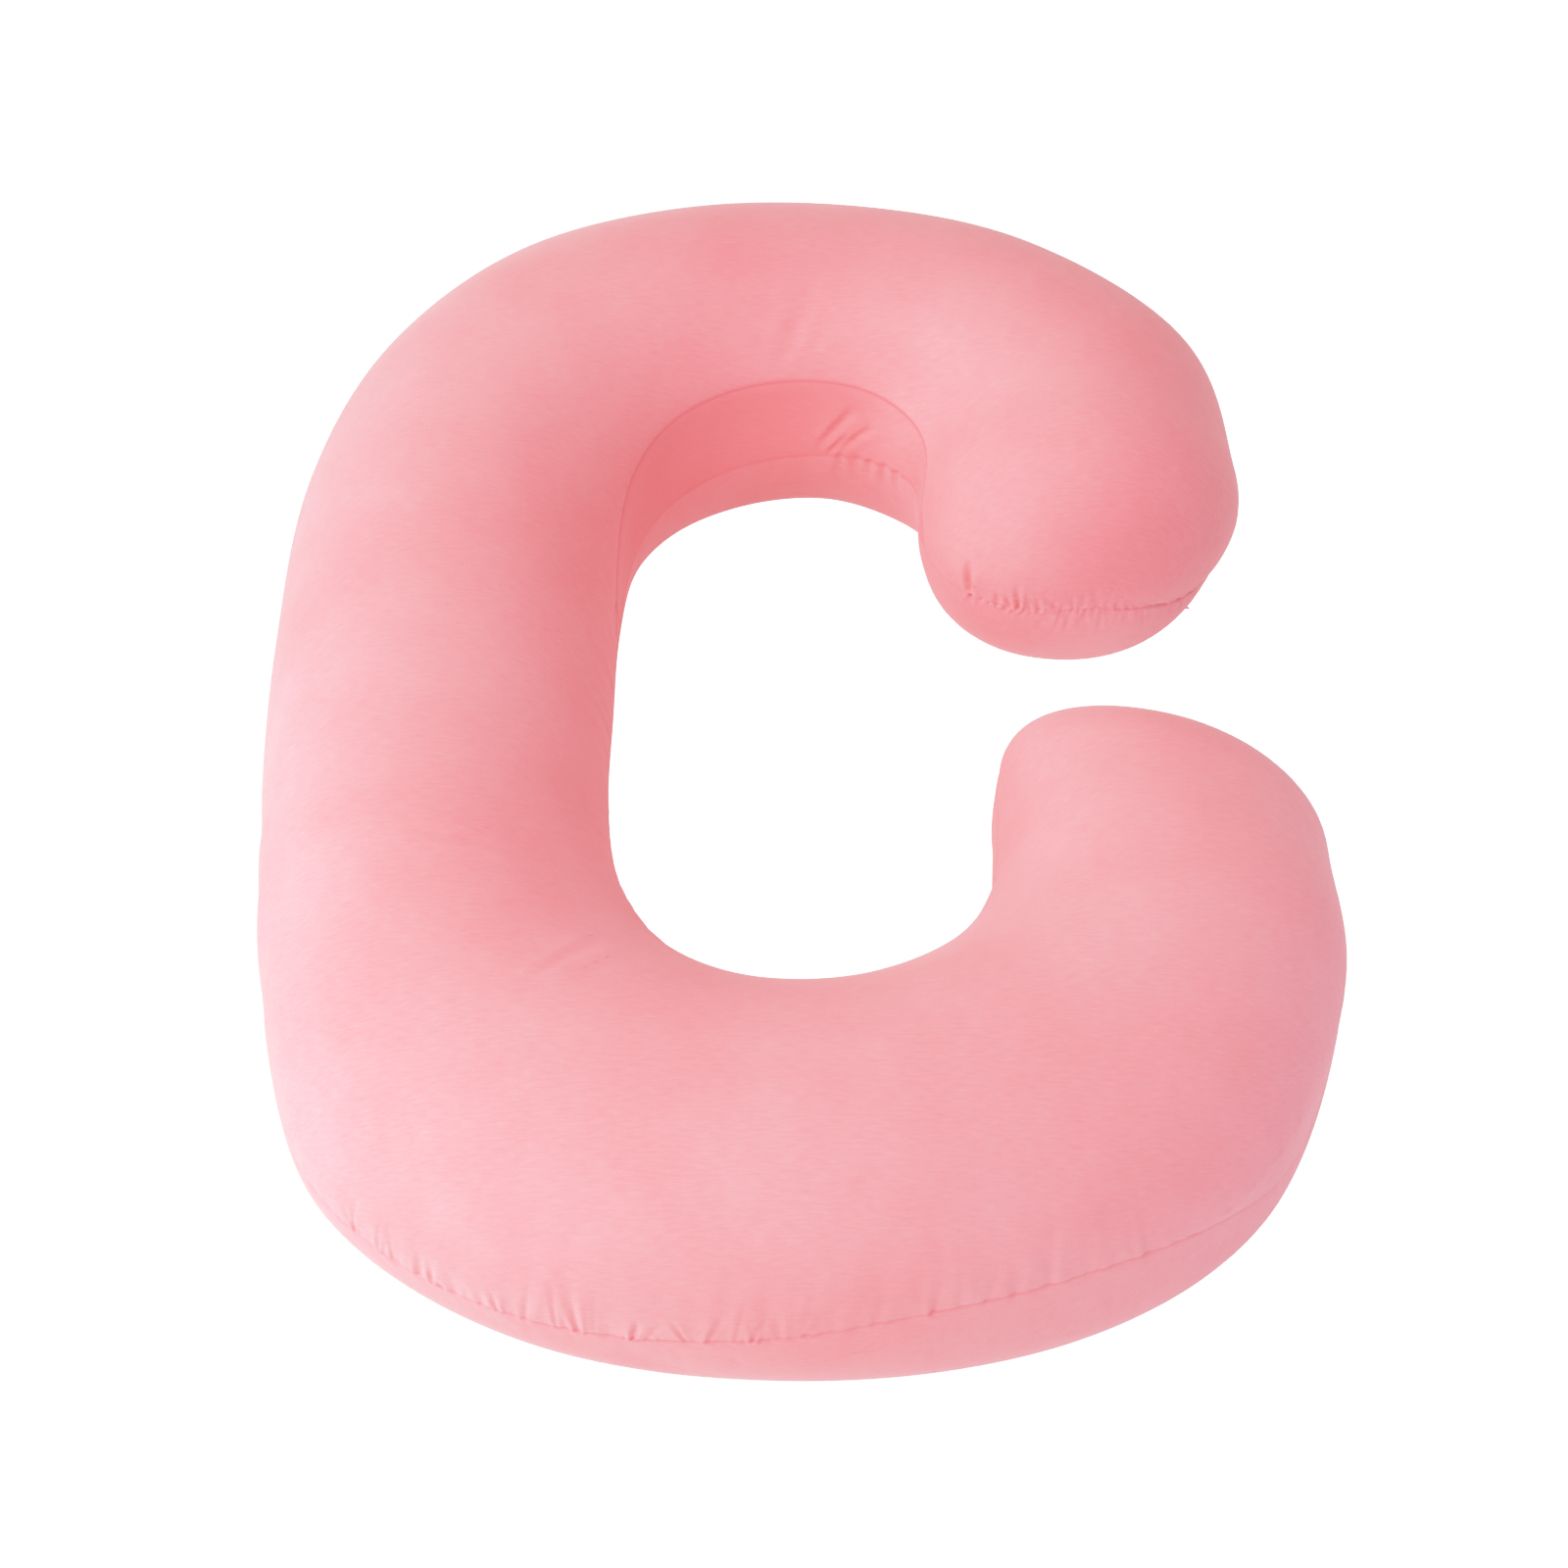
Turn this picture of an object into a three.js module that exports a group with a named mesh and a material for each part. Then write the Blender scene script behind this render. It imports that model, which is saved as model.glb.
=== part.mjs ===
// Pregnancy pillow: one filled C-shaped cushion lying on its lower panel.
// Two sewn panels meet in a plain seam round the side, and a crescent gusset is let in on the
// inner side of the neck, between the seam and the upper panel.
// Millimetres, +Z up, origin under the middle of the pillow at the height of its underside.

import * as THREE from 'three';
import { ParametricGeometry } from 'three/addons/geometries/ParametricGeometry.js';
import { mergeGeometries, mergeVertices } from 'three/addons/utils/BufferGeometryUtils.js';

// Sections across the arm, from the head end of the C to its leg end. Each one gives the plan
// points of the seam on the hole side and on the outer side, the heights of the crown and of the
// seam, and how far the lower panel swells past the seam, as a share of the half width.
const SECTIONS = [
  { holeX: 103, holeY: 209, outX: 375, outY: 240, crown: 262, seam: 128, swell: 0.05 },
  { holeX: 100, holeY: 261, outX: 346, outY: 381, crown: 262, seam: 128, swell: 0.15 },
  { holeX: 66, holeY: 291, outX: 220, outY: 493, crown: 258, seam: 126, swell: 0.15 },
  { holeX: 14, holeY: 299, outX: 72, outY: 542, crown: 256, seam: 124, swell: 0 },
  { holeX: -46, holeY: 285, outX: -94, outY: 545, crown: 256, seam: 124, swell: 0 },
  { holeX: -96, holeY: 248, outX: -246, outY: 489, crown: 262, seam: 126, swell: 0 },
  { holeX: -127, holeY: 193, outX: -352, outY: 376, crown: 266, seam: 128, swell: 0 },
  { holeX: -140, holeY: 113, outX: -404, outY: 234, crown: 268, seam: 128, swell: 0 },
  { holeX: -143, holeY: 23, outX: -416, outY: 68, crown: 268, seam: 128, swell: 0 },
  { holeX: -144, holeY: -67, outX: -414, outY: -87, crown: 268, seam: 128, swell: 0 },
  { holeX: -132, holeY: -155, outX: -400, outY: -252, crown: 270, seam: 126, swell: 0 },
  { holeX: -90, holeY: -225, outX: -350, outY: -413, crown: 274, seam: 124, swell: 0 },
  { holeX: -26, holeY: -260, outX: -196, outY: -521, crown: 276, seam: 124, swell: 0 },
  { holeX: 48, holeY: -262, outX: 16, outY: -547, crown: 276, seam: 130, swell: 0.12 },
  { holeX: 114, holeY: -231, outX: 204, outY: -497, crown: 274, seam: 142, swell: 0.38 },
  { holeX: 154, holeY: -173, outX: 342, outY: -413, crown: 270, seam: 152, swell: 0.32 },
  { holeX: 168, holeY: -118, outX: 410, outY: -264, crown: 266, seam: 155, swell: 0.3 },
  { holeX: 166, holeY: -78, outX: 408, outY: -142, crown: 254, seam: 152, swell: 0.33 },
];

// How far each rounded end runs past its last section, and how square its plan is on the hole side
// and on the outer side: 2 is an ellipse, more is squarer.
const HEAD_END = { reach: 98, holeSide: 2.4, outerSide: 1.75 };
const LEG_END = { reach: 80, holeSide: 2.6, outerSide: 2.2 };

// The arms are about this thick, and the filling is drawn in by the seam all round.
const ARM_RADIUS = 135;
const SEAM_DRAW_IN = 3;
const SEAM_VALLEY = 10;

// The crescent gusset: the sections where its tips lie, and how far it climbs above the seam.
const GUSSET = { firstSection: -0.2, lastSection: 7.4, climb: THREE.MathUtils.degToRad(33), slack: 1.4 };

// The weight of the filling presses the underside flat: the lower panel would reach this much
// further down than the surface it lies on.
const UNDERSIDE_PRESS = 1.06;

// Facets: columns in each rounded end and between two sections, and rows across a panel. The rows
// lie closer together towards the seam.
const COLUMNS_PER_END = 6;
const COLUMNS_PER_SECTION = 5;
const ROWS = 20;
const ROW_CROWDING = 0.25;

const COVER = { color: 0xf2a0ab, roughness: 0.85, metalness: 0 };

const LAST_SECTION = SECTIONS.length - 1;

// The seam on one side of the arm, as a smooth curve through the sections. The height of the curve
// is the height of the seam.
function seamCurve(xName, yName) {
  const points = SECTIONS.map((row) => new THREE.Vector3(row[xName], row[yName], row.seam));
  return new THREE.CatmullRomCurve3(points, false, 'catmullrom', 0.5);
}

const holeSeam = seamCurve('holeX', 'holeY');
const outerSeam = seamCurve('outX', 'outY');
const crownAndSwell = new THREE.CatmullRomCurve3(
  SECTIONS.map((row) => new THREE.Vector3(row.crown, row.swell, 0)), false, 'catmullrom', 0.5);

// The way out of the pillow at one end of both seams, where the rounded end carries them on.
function wayOut(along) {
  const way = holeSeam.getTangent(along).add(outerSeam.getTangent(along)).setZ(0).normalize();
  return along === 0 ? way.negate() : way;
}

const headWay = wayOut(0);
const legWay = wayOut(1);

// One section at any station along the C, where whole stations are the rows of the table.
function sectionAt(station) {
  const along = THREE.MathUtils.clamp(station / LAST_SECTION, 0, 1);
  const hole = holeSeam.getPoint(along);
  const outer = outerSeam.getPoint(along);
  const extra = crownAndSwell.getPoint(along);
  return {
    middle: hole.clone().add(outer).multiplyScalar(0.5),
    half: outer.clone().sub(hole).multiplyScalar(0.5),
    seam: hole.z,
    crown: extra.x,
    swell: extra.y,
  };
}

// A point of the unit dome over one section: `across` runs from the seam on the hole side (-1) over
// the crown (0) to the outer seam (1). In a rounded end, `past` runs from the last section (0) to
// the seam at the very end (1), along the arc that joins the two.
function domePoint(across, past) {
  const tilt = across * Math.PI / 2;
  const overSection = new THREE.Vector3(0, Math.sin(tilt), Math.cos(tilt));
  if (past === 0) {
    return overSection;
  }
  const onEndSeam = new THREE.Vector3(Math.cos(tilt / 2), Math.sin(tilt / 2), 0);
  const arc = overSection.angleTo(onEndSeam);
  return overSection.multiplyScalar(Math.sin((1 - past) * arc) / Math.sin(arc))
    .addScaledVector(onEndSeam, Math.sin(past * arc) / Math.sin(arc));
}

// A rounded end is a little squarer in plan than an ellipse.
function squareOff(dome, end) {
  const power = dome.y < 0 ? end.holeSide : end.outerSide;
  const heading = Math.atan2(Math.abs(dome.y), dome.x);
  const spread = (Math.cos(heading) ** power + Math.sin(heading) ** power) ** (-1 / power);
  const lowness = dome.x ** 2 + dome.y ** 2;
  const stretch = 1 + (spread - 1) * lowness;
  dome.x *= stretch;
  dome.y *= stretch;
}

// How far the cover lies inside the round arm, as a share of its radius: a valley along the seam.
function seamValley(rise) {
  const fromSeam = rise * ARM_RADIUS / SEAM_VALLEY;
  return SEAM_DRAW_IN / ARM_RADIUS * Math.exp(-(fromSeam ** 2));
}

// The gusset is cut flat, so it spans like a chord between the seam and its upper edge.
function gussetFlat(station, rise) {
  const span = GUSSET.lastSection - GUSSET.firstSection;
  const fromMiddle = 2 * (station - GUSSET.firstSection) / span - 1;
  if (Math.abs(fromMiddle) >= 1) {
    return 0;
  }
  const climb = GUSSET.climb * (1 - fromMiddle ** 2) ** 0.8;
  if (rise >= climb) {
    return 0;
  }
  return GUSSET.slack * (1 - Math.cos(climb / 2) / Math.cos(rise - climb / 2));
}

// A point of the cover. `column` counts along the C through both rounded ends.
function coverPoint(isUpper, across, column) {
  const station = (column - COLUMNS_PER_END) / COLUMNS_PER_SECTION;
  const isHeadEnd = station < 0;
  const end = isHeadEnd ? HEAD_END : LEG_END;
  const pastSections = isHeadEnd ? -station : station - LAST_SECTION;
  const past = Math.max(pastSections, 0) * COLUMNS_PER_SECTION / COLUMNS_PER_END;
  const section = sectionAt(station);

  const dome = domePoint(across, past);
  const rise = Math.asin(THREE.MathUtils.clamp(dome.z, 0, 1));
  let drawnIn = seamValley(rise);
  if (isUpper && dome.y < 0) {
    drawnIn += gussetFlat(station, rise);
  }
  squareOff(dome, end);
  dome.multiplyScalar(1 - drawnIn);

  const swell = isUpper ? 1 : 1 + section.swell * dome.z;
  const point = section.middle.clone();
  point.addScaledVector(section.half, dome.y * swell);
  point.addScaledVector(isHeadEnd ? headWay : legWay, dome.x * swell * end.reach);
  const lift = isUpper ? section.crown - section.seam : -section.seam * UNDERSIDE_PRESS;
  point.z = Math.max(section.seam + lift * dome.z, 0);
  return point;
}

// One panel of the cover, with its faces pointing out. The lower panel is laid from the outer side
// to the hole side.
function panel(isUpper) {
  const columns = 2 * COLUMNS_PER_END + LAST_SECTION * COLUMNS_PER_SECTION;
  const lay = (u, v, target) => {
    const even = isUpper ? 2 * u - 1 : 1 - 2 * u;
    const across = even + ROW_CROWDING * even * (1 - even ** 2);
    target.copy(coverPoint(isUpper, across, v * columns));
  };
  return new ParametricGeometry(lay, ROWS, columns);
}

// The filled body: both panels joined along the seam, with the origin under its middle.
function pillowBody() {
  const panels = mergeGeometries([panel(true), panel(false)]);
  panels.deleteAttribute('normal');
  panels.deleteAttribute('uv');
  const body = mergeVertices(panels, 0.001);
  body.computeBoundingBox();
  const middle = body.boundingBox.getCenter(new THREE.Vector3());
  body.translate(-middle.x, -middle.y, 0);
  body.computeVertexNormals();
  return body;
}

const pillow = new THREE.Mesh(pillowBody(), new THREE.MeshStandardMaterial(COVER));
pillow.name = 'pillow_body';

const group = new THREE.Group();
group.name = 'pregnancy_pillow';
group.add(pillow);

export default group;
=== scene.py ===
"""Pregnancy pillow: the C-shaped cushion, dressed in its pink cotton cover.

The cover is sewn as its maker sews it, from an upper panel, a lower panel and a crescent gusset
inside the neck, pumped up by its filling, and given the seams, gathers and creases that show. Sizes
are millimetres on the maker's pattern, and the finished piece is in metres.
"""

import logging
import math
import random
from dataclasses import dataclass, field
from enum import Enum

import bmesh
import bpy
import numpy as np
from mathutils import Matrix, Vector


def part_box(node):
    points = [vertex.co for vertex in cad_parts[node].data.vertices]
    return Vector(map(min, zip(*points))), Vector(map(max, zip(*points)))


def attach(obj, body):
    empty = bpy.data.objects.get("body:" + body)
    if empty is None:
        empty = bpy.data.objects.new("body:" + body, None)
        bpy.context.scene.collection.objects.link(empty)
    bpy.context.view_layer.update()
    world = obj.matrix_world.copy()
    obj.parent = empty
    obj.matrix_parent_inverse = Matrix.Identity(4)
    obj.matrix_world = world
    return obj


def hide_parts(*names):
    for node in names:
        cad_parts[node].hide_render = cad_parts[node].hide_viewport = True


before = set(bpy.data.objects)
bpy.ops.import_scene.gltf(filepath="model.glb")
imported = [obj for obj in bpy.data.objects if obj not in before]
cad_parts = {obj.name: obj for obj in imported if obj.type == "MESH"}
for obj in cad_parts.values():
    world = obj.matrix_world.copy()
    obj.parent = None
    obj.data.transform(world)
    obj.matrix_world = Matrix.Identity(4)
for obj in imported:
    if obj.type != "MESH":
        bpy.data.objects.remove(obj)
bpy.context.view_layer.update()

NODE = "pillow_body"
MM = 0.001

# A distance, in millimetres, that stands for nowhere near.
FAR = 1000.0

# The length of one wave in a wave texture of scale 1.
WAVE_LENGTH = math.tau / 20

Pair = tuple[float, float]
Triple = tuple[float, float, float]
Curve = tuple[Pair, ...]
Array = np.ndarray
Cloth = bmesh.types.BMesh
Tree = bpy.types.NodeTree
Socket = bpy.types.NodeSocket
Inputs = dict[str | int, object]

log = logging.getLogger("pillow")


def read_off(places: Array, curve: Curve) -> Array:
    """Reads a curve that runs straight from each of its points to the next.

    Args:
        places: Where the curve is read.
        curve: Its points, each a place and the height there.

    Returns:
        The curve's height at each place.
    """
    marks, heights = zip(*curve)
    return np.interp(places, marks, heights)


def ease(share: Array) -> Array:
    """Turns a share that grows evenly from 0 to 1 into one that starts and ends softly.

    Args:
        share: The even share.

    Returns:
        The eased share.
    """
    return share * share * (3 - 2 * share)


def bell(distance: Array, width: float | Array) -> Array:
    """A bell curve that is 1 in the middle and fades over its width.

    Args:
        distance: How far from the middle it is read.
        width: How wide it is.

    Returns:
        The bell's height at each distance.
    """
    return np.exp(-((distance / width) ** 2))


def set_inputs(node: bpy.types.Node, inputs: Inputs) -> None:
    """Sets a node's inputs.

    Args:
        node: The node.
        inputs: For each input a value, or the output that it is linked to.
    """
    for name, value in inputs.items():
        if isinstance(value, Socket):
            node.id_data.links.new(value, node.inputs[name])
        else:
            node.inputs[name].default_value = value


def add_node(tree: Tree, kind: str, inputs: Inputs, **choices: str) -> bpy.types.Node:
    """Adds a node to a material.

    Args:
        tree: The material's nodes.
        kind: The kind of node.
        inputs: Its inputs, as values or as the outputs that they are linked to.
        choices: Its other settings.

    Returns:
        The node.
    """
    node = tree.nodes.new("ShaderNode" + kind)
    for name, choice in choices.items():
        setattr(node, name, choice)
    set_inputs(node, inputs)
    return node


def show(name: str, data: bpy.types.ID) -> bpy.types.Object:
    """Puts a piece in the scene.

    Args:
        name: What the piece is called.
        data: Its mesh, light or lens.

    Returns:
        The piece.
    """
    piece = bpy.data.objects.new(name, data)
    bpy.context.scene.collection.objects.link(piece)
    return piece


def show_sheet(name: str, sheet: Cloth) -> bpy.types.Object:
    """Puts a copy of a sheet in the scene.

    Args:
        name: What the piece is called.
        sheet: The sheet.

    Returns:
        The piece.
    """
    mesh = bpy.data.meshes.new(name)
    sheet.to_mesh(mesh)
    return show(name, mesh)


def take_away(piece: bpy.types.Object) -> None:
    """Takes a piece and its mesh out of the scene.

    Args:
        piece: The piece.
    """
    mesh = piece.data
    bpy.data.objects.remove(piece)
    bpy.data.meshes.remove(mesh)


class Panel(Enum):
    """The pieces of cloth that the cover is sewn from."""

    UPPER = "upper panel"
    GUSSET = "crescent gusset"
    LOWER = "lower panel"

    @property
    def side(self) -> float:
        """The side of the seam that the panel lies on.

        Returns:
            1 above the seam and -1 below it.
        """
        return -1.0 if self is Panel.LOWER else 1.0


@dataclass(frozen=True)
class Section:
    """One line across the arm, on the maker's pattern, in millimetres.

    The seam runs through `hole` on the side of the open middle and through `out` on the outer side.
    `crown` and `seam` are heights, and `swell` is how far the lower panel bulges past the seam, as a
    share of the half width.
    """

    hole: Pair
    out: Pair
    crown: float
    seam: float
    swell: float

    def numbers(self) -> list[float]:
        """Lists the section's sizes in one row.

        Returns:
            The four plan sizes, then crown, seam and swell.
        """
        return [*self.hole, *self.out, self.crown, self.seam, self.swell]


@dataclass(frozen=True)
class RoundEnd:
    """A rounded end of the C: its reach past the last section and how square its plan is."""

    reach: float
    hole_side: float
    outer_side: float


@dataclass(frozen=True)
class Pattern:
    """The pillow's shape: the cover's place at any point of its panels.

    A point of the cover has a `station` along the C, where whole numbers are sections and one more
    on each side runs to the tip of a rounded end, an `across` from the hole side (-1) over the crown
    or the underside (0) to the outer side (1), and a `side`, above the seam (1) or below it (-1).
    """

    sections: tuple[Section, ...] = (
        Section((103, 209), (371, 240), 262, 128, 0.05),
        Section((100, 261), (344, 379), 262, 128, 0.15),
        Section((66, 291), (220, 493), 258, 126, 0.15),
        Section((14, 299), (72, 542), 256, 124, 0.0),
        Section((-46, 285), (-94, 545), 256, 124, 0.0),
        Section((-96, 248), (-246, 489), 262, 126, 0.0),
        Section((-127, 193), (-352, 376), 266, 128, 0.0),
        Section((-140, 113), (-404, 234), 268, 128, 0.0),
        Section((-143, 23), (-416, 68), 268, 128, 0.0),
        Section((-144, -67), (-414, -87), 268, 128, 0.0),
        Section((-132, -155), (-400, -252), 270, 126, 0.0),
        Section((-90, -225), (-350, -413), 274, 124, 0.0),
        Section((-26, -260), (-196, -518), 276, 124, 0.0),
        Section((48, -262), (16, -543), 276, 130, 0.12),
        Section((114, -231), (204, -497), 274, 142, 0.38),
        Section((149, -174), (341, -412), 270, 152, 0.32),
        Section((156, -118), (404, -264), 266, 155, 0.3),
        Section((157, -76), (404, -142), 254, 152, 0.33),
    )
    head_end: RoundEnd = RoundEnd(98, 2.4, 1.75)
    leg_end: RoundEnd = RoundEnd(78, 2.8, 2.1)
    arm_radius: float = 135
    underside_press: float = 1.06
    swell_onset: float = 0.92
    gusset_first: float = -0.2
    gusset_last: float = 7.4
    gusset_climb: float = math.radians(33)
    gusset_fullness: float = 0.8
    corner_sag: float = 62.0
    corner_along: Pair = (-0.4, 1.8)
    corner_across: Curve = ((0.0, 0.0), (0.35, 0.22), (0.5, 0.52), (0.8, 0.89), (1.0, 1.0))
    front_sag: Curve = (
        (11.8, 0), (12.4, -3), (12.8, -10), (13.2, -20), (13.45, -21), (13.8, -16), (14.1, -11),
        (14.4, -4), (14.7, 7), (15.0, 20), (15.3, 26), (15.8, 14), (16.4, 0))
    front_across: Curve = ((0.0, 0.0), (0.5, 1.0))
    steepest_step: float = 0.95

    @property
    def last(self) -> int:
        """The station of the last section.

        Returns:
            The number of sections less one.
        """
        return len(self.sections) - 1

    def section_at(self, station: Array) -> Array:
        """Works out smooth sections between those of the table.

        Args:
            station: The stations wanted.

        Returns:
            A row of sizes for each one.
        """
        table = np.array([row.numbers() for row in self.sections])
        held = np.vstack([2 * table[0] - table[1], table, 2 * table[-1] - table[-2]])
        inside = np.clip(station, 0, self.last - 1e-9)
        index = inside.astype(int)
        part = (inside - index)[:, None]
        before, start, stop, after = (held[index + step] for step in range(4))
        leave, arrive = (stop - before) / 2, (after - start) / 2
        cubic = 2 * (start - stop) + leave + arrive
        square = 3 * (stop - start) - 2 * leave - arrive
        return ((cubic * part + square) * part + leave) * part + start

    def way_out(self, at_head: bool) -> Array:
        """The way in which both seams leave the last section at one end, in plan.

        Args:
            at_head: Whether it is the head end, or else the leg end.

        Returns:
            The way out, of length 1.
        """
        near, far = (0.0, 0.01) if at_head else (self.last - 1e-6, self.last - 0.01)
        rows = self.section_at(np.array([near, far]))
        step = rows[0] - rows[1]
        hole, out = (part / np.linalg.norm(part) for part in (step[0:2], step[2:4]))
        return (hole + out) / np.linalg.norm(hole + out)

    def past(self, station: Array) -> Array:
        """How far each station lies into a rounded end.

        Args:
            station: The points' stations.

        Returns:
            0 along the arms, growing to 1 at a tip.
        """
        return np.clip(np.maximum(-station, station - self.last), 0, 1)

    def dome(self, station: Array, across: Array) -> Array:
        """Points of a unit dome over the arm: out of the end, towards the outer side, and up.

        Args:
            station: The points' stations.
            across: Their places across.

        Returns:
            The points.
        """
        tilt = across * math.pi / 2
        none = np.zeros_like(tilt)
        over = np.stack([none, np.sin(tilt), np.cos(tilt)], -1)
        at_tip = np.stack([np.cos(tilt / 2), np.sin(tilt / 2), none], -1)
        past = self.past(station)
        arc = np.arccos(np.clip((over * at_tip).sum(-1), -1, 1))
        first, second = np.sin((1 - past) * arc), np.sin(past * arc)
        return (over * first[:, None] + at_tip * second[:, None]) / np.sin(arc)[:, None]

    def rise(self, station: Array, across: Array) -> Array:
        """The angle of points above or below the seam, seen from the middle of the arm.

        Args:
            station: The points' stations.
            across: Their places across.

        Returns:
            The points' angles.
        """
        return np.arcsin(np.clip(self.dome(station, across)[:, 2], 0, 1))

    def climb(self, station: Array) -> Array:
        """The angle that the gusset climbs above the seam.

        Args:
            station: The stations wanted.

        Returns:
            The angles, nought past the gusset's tips.
        """
        span = self.gusset_last - self.gusset_first
        from_middle = 2 * (station - self.gusset_first) / span - 1
        return self.gusset_climb * np.clip(1 - from_middle**2, 0, 1) ** self.gusset_fullness

    def sag(self, station: Array, across: Array) -> Array:
        """How far the side seam lies below the cushion's widest line, in millimetres.

        It sags on the outer corner of the head end, and wanders along the front of the bottom.

        Args:
            station: The points' stations.
            across: Their places across.

        Returns:
            The points' drops, below nought where the seam is above the line.
        """
        first, last = self.corner_along
        along = np.clip((station - first) / (last - first), 0, 1)
        corner = self.corner_sag * (1 - ease(along)) * read_off(across, self.corner_across)
        return corner + read_off(station, self.front_sag) * read_off(across, self.front_across)

    def to_seam(self, station: float, across: float, side: float) -> Pair:
        """The step that takes a point of the widest line onto the side seam.

        Args:
            station: The point's station.
            across: Its place across the arm.
            side: The side from which the point is reached.

        Returns:
            The step in station and in place across, past the widest line where the seam is.
        """
        sag = float(self.sag(np.array([station]), np.array([across]))[0])
        rise = -sag * side / self.arm_radius
        if abs(across) == 1:
            return 0.0, -math.copysign(rise * 2 / math.pi, across)
        tilt = across * math.pi / 2
        arc = math.acos(math.sin(tilt) * math.sin(tilt / 2))
        slope = math.sin(abs(rise)) * math.sin(arc) / math.cos(tilt)
        step = math.asin(min(slope, self.steepest_step)) / arc
        return math.copysign(step, -rise * station), 0.0

    def squaring(self, station: Array, dome: Array) -> Array:
        """How much further out than an ellipse the rounded ends run in plan.

        Args:
            station: The points' stations.
            dome: Their places on the unit dome.

        Returns:
            The points' factors, 1 along the arms.
        """
        to_hole = dome[:, 1] < 0
        at_head = np.where(to_hole, self.head_end.hole_side, self.head_end.outer_side)
        at_leg = np.where(to_hole, self.leg_end.hole_side, self.leg_end.outer_side)
        power = np.where(station < 0, at_head, at_leg)
        heading = np.arctan2(np.abs(dome[:, 1]), dome[:, 0])
        spread = (np.abs(np.cos(heading)) ** power + np.sin(heading) ** power) ** (-1 / power)
        lowness = dome[:, 0] ** 2 + dome[:, 1] ** 2
        return np.where(self.past(station) > 0, 1 + (spread - 1) * lowness, 1)

    def cover(self, station: Array, across: Array, side: Array) -> Array:
        """Places of points of the cover, round and smooth, in millimetres on the pattern.

        Args:
            station: The points' stations.
            across: Their places across.
            side: Above the seam or below it.

        Returns:
            The points' places.
        """
        rows = self.section_at(station)
        middle, half = (rows[:, 2:4] + rows[:, 0:2]) / 2, (rows[:, 2:4] - rows[:, 0:2]) / 2
        crown, seam, swell = rows[:, 4], rows[:, 5], rows[:, 6]
        dome = self.dome(station, across)
        outward, sideways, up = dome.T
        upper = side >= 0
        swelling = np.where(upper, 1, 1 + swell * self.swell_onset * ease(up))
        stretch = self.squaring(station, dome) * swelling
        head_way = self.way_out(True) * self.head_end.reach
        leg_way = self.way_out(False) * self.leg_end.reach
        ways = np.where((station < 0)[:, None], head_way, leg_way)
        plan = middle + half * (sideways * stretch)[:, None] + ways * (outward * stretch)[:, None]
        lift = np.where(upper, crown - seam, -seam * self.underside_press)
        return np.column_stack([plan, seam + lift * up])


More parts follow.
